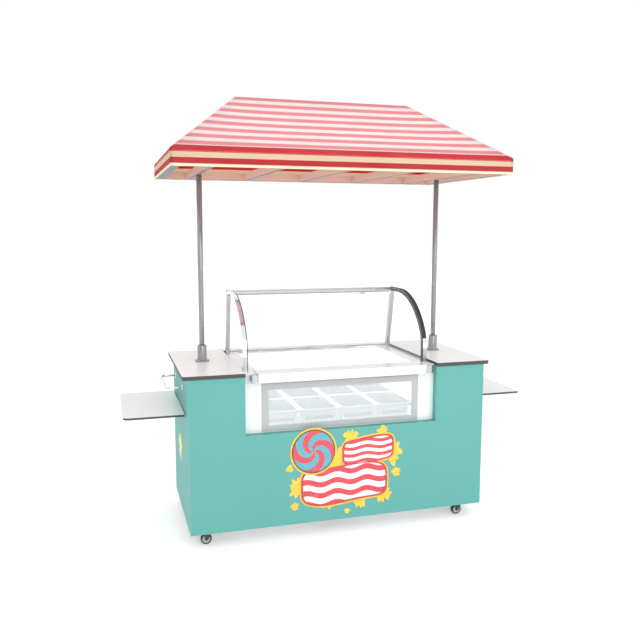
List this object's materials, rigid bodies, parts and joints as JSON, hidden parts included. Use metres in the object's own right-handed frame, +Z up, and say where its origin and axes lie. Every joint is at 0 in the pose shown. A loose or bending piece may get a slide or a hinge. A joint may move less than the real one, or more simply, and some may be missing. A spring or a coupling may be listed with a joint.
{
  "type": "push vending cart",
  "caption": "Wheeled dessert cart with a teal cabinet, glazed cold display under a curved glass guard, fold-down side shelves and a striped hip-roof canopy on poles.",
  "frame": {"origin": "on the floor under the middle of the canopy, which is the middle of the whole cart's box", "axes": "+Z up; -Y towards the customer, through the display window; +Y towards the server; +X to the server's left, away from the push handle"},
  "size_m": [2.482, 1.127, 2.556],
  "materials": {
    "frame_steel": "satin grey paint",
    "galvanised_sheet": "dull sheet",
    "teal_paint": "satin powder coat",
    "white_laminate": "satin compact laminate, dark core at the edge",
    "white_panel": "gloss white",
    "white_ledge": "gloss white",
    "grey_frame": "satin grey",
    "clear_glass": "clear",
    "white_liner": "gloss white",
    "stainless": "brushed",
    "pan_steel": "polished",
    "led_diffuser": "lit diffuser",
    "guard_silver": "polished",
    "black_rubber": "matt",
    "black_enamel": "gloss black",
    "condenser_aluminium": "finned",
    "fan_plastic": "moulded",
    "black_plastic": "moulded",
    "switch_red": "gloss",
    "bracket_steel": "white powder coat",
    "polished_tube": "polished",
    "zinc_plate": "zinc plated",
    "caster_black": "black",
    "caster_tyre": "black tread, grey hub",
    "canopy_paint": "beige paint, grey undersides",
    "roof_cloth": "pink and white striped awning cloth",
    "valance_cloth": "red and cream striped awning cloth"
  },
  "bodies": {
    "cart": {"base_frame": "frame_steel", "floor_panel": "galvanised_sheet", "body_frame": "frame_steel", "front_panel": "teal_paint", "side_panels": "teal_paint", "rear_face_frame": "teal_paint", "partitions": "galvanised_sheet", "countertops": "white_laminate", "display_fascia": "white_panel", "window_frame": "grey_frame", "window_glass": "clear_glass", "display_tank": "white_liner", "pan_rack": "stainless", "pans": "pan_steel", "display_deck": "white_panel", "front_rail": "stainless", "front_ledge": "white_ledge", "led_strip": "led_diffuser", "guard_end_frames": "guard_silver", "guard_gaskets": "black_rubber", "guard_front_glass": "clear_glass", "guard_end_glass": "clear_glass", "guard_top_bar": "guard_silver", "guard_posts": "stainless", "guard_tracks": "guard_silver", "compressor": "black_enamel", "condenser": "condenser_aluminium", "control_panel": "stainless", "power_inlet": "black_plastic", "service_grille": "galvanised_sheet", "cupboard_hinges": "stainless", "shelf_brackets": "bracket_steel", "push_handle": "polished_tube", "caster_plates": "zinc_plate", "pole_sockets": "polished_tube", "socket_screws": "stainless", "canopy_poles": "polished_tube", "canopy_rails": "canopy_paint", "canopy_ribs": "canopy_paint", "canopy_roof": "roof_cloth", "canopy_valance": "valance_cloth"},
    "sliding_door_left": {"sliding_door_left": "clear_glass"},
    "sliding_door_right": {"sliding_door_right": "clear_glass"},
    "condenser_fan": {"condenser_fan": "fan_plastic"},
    "thermostat_knob": {"thermostat_knob": "black_plastic"},
    "power_switch": {"power_switch": "switch_red"},
    "cupboard_door_left": {"cupboard_door_left": "teal_paint"},
    "cupboard_door_right": {"cupboard_door_right": "teal_paint"},
    "shelf_left": {"shelf_left": "white_laminate"},
    "shelf_right": {"shelf_right": "white_laminate"},
    "caster_fork_front_left": {"caster_fork_front_left": "caster_black"},
    "caster_wheel_front_left": {"caster_wheel_front_left": "caster_tyre"},
    "caster_fork_front_right": {"caster_fork_front_right": "caster_black"},
    "caster_wheel_front_right": {"caster_wheel_front_right": "caster_tyre"},
    "caster_fork_rear_left": {"caster_fork_rear_left": "caster_black"},
    "caster_wheel_rear_left": {"caster_wheel_rear_left": "caster_tyre"},
    "caster_fork_rear_right": {"caster_fork_rear_right": "caster_black"},
    "caster_wheel_rear_right": {"caster_wheel_rear_right": "caster_tyre"}
  },
  "joints": [
    {"name": "caster_swivel_front_left", "type": "hinge", "parent": "cart", "child": "caster_fork_front_left", "pos_m": [-0.7886, -0.366, 0.08], "axis": [0, 0, 1], "continuous": true},
    {"name": "caster_spin_front_left", "type": "hinge", "parent": "caster_fork_front_left", "child": "caster_wheel_front_left", "pos_m": [-0.8056, -0.366, 0.0315], "axis": [0, 1, 0], "continuous": true},
    {"name": "caster_swivel_front_right", "type": "hinge", "parent": "cart", "child": "caster_fork_front_right", "pos_m": [0.7886, -0.366, 0.08], "axis": [0, 0, 1], "continuous": true},
    {"name": "caster_spin_front_right", "type": "hinge", "parent": "caster_fork_front_right", "child": "caster_wheel_front_right", "pos_m": [0.7716, -0.366, 0.0315], "axis": [0, 1, 0], "continuous": true},
    {"name": "caster_swivel_rear_left", "type": "hinge", "parent": "cart", "child": "caster_fork_rear_left", "pos_m": [-0.7886, 0.296, 0.08], "axis": [0, 0, 1], "continuous": true},
    {"name": "caster_spin_rear_left", "type": "hinge", "parent": "caster_fork_rear_left", "child": "caster_wheel_rear_left", "pos_m": [-0.8056, 0.296, 0.0315], "axis": [0, 1, 0], "continuous": true},
    {"name": "caster_swivel_rear_right", "type": "hinge", "parent": "cart", "child": "caster_fork_rear_right", "pos_m": [0.7886, 0.296, 0.08], "axis": [0, 0, 1], "continuous": true},
    {"name": "caster_spin_rear_right", "type": "hinge", "parent": "caster_fork_rear_right", "child": "caster_wheel_rear_right", "pos_m": [0.7716, 0.296, 0.0315], "axis": [0, 1, 0], "continuous": true},
    {"name": "shelf_left_fold", "type": "hinge", "parent": "cart", "child": "shelf_left", "pos_m": [-0.914, 0.018, 0.726], "axis": [0, 1, 0], "range_deg": [-90, 0]},
    {"name": "shelf_right_fold", "type": "hinge", "parent": "cart", "child": "shelf_right", "pos_m": [0.914, 0.018, 0.726], "axis": [0, 1, 0], "range_deg": [0, 90]},
    {"name": "cupboard_left_swing", "type": "hinge", "parent": "cart", "child": "cupboard_door_left", "pos_m": [-0.86, 0.3725, 0.54], "axis": [0, 0, 1], "range_deg": [0, 110]},
    {"name": "cupboard_right_swing", "type": "hinge", "parent": "cart", "child": "cupboard_door_right", "pos_m": [0.86, 0.3725, 0.54], "axis": [0, 0, 1], "range_deg": [-110, 0]},
    {"name": "sliding_left_travel", "type": "slide", "parent": "cart", "child": "sliding_door_left", "axis": [1, 0, 0], "range_m": [0, 0.53]},
    {"name": "sliding_right_travel", "type": "slide", "parent": "cart", "child": "sliding_door_right", "axis": [1, 0, 0], "range_m": [-0.53, 0]},
    {"name": "fan_spin", "type": "hinge", "parent": "cart", "child": "condenser_fan", "pos_m": [0, 0.271, 0.3], "axis": [0, 1, 0], "continuous": true},
    {"name": "thermostat_turn", "type": "hinge", "parent": "cart", "child": "thermostat_knob", "pos_m": [0.06, 0.375, 0.55], "axis": [0, 1, 0], "range_deg": [0, 270]},
    {"name": "power_switch_rock", "type": "hinge", "parent": "cart", "child": "power_switch", "pos_m": [-0.06, 0.366, 0.55], "axis": [1, 0, 0], "range_deg": [0, 14]}
  ]
}
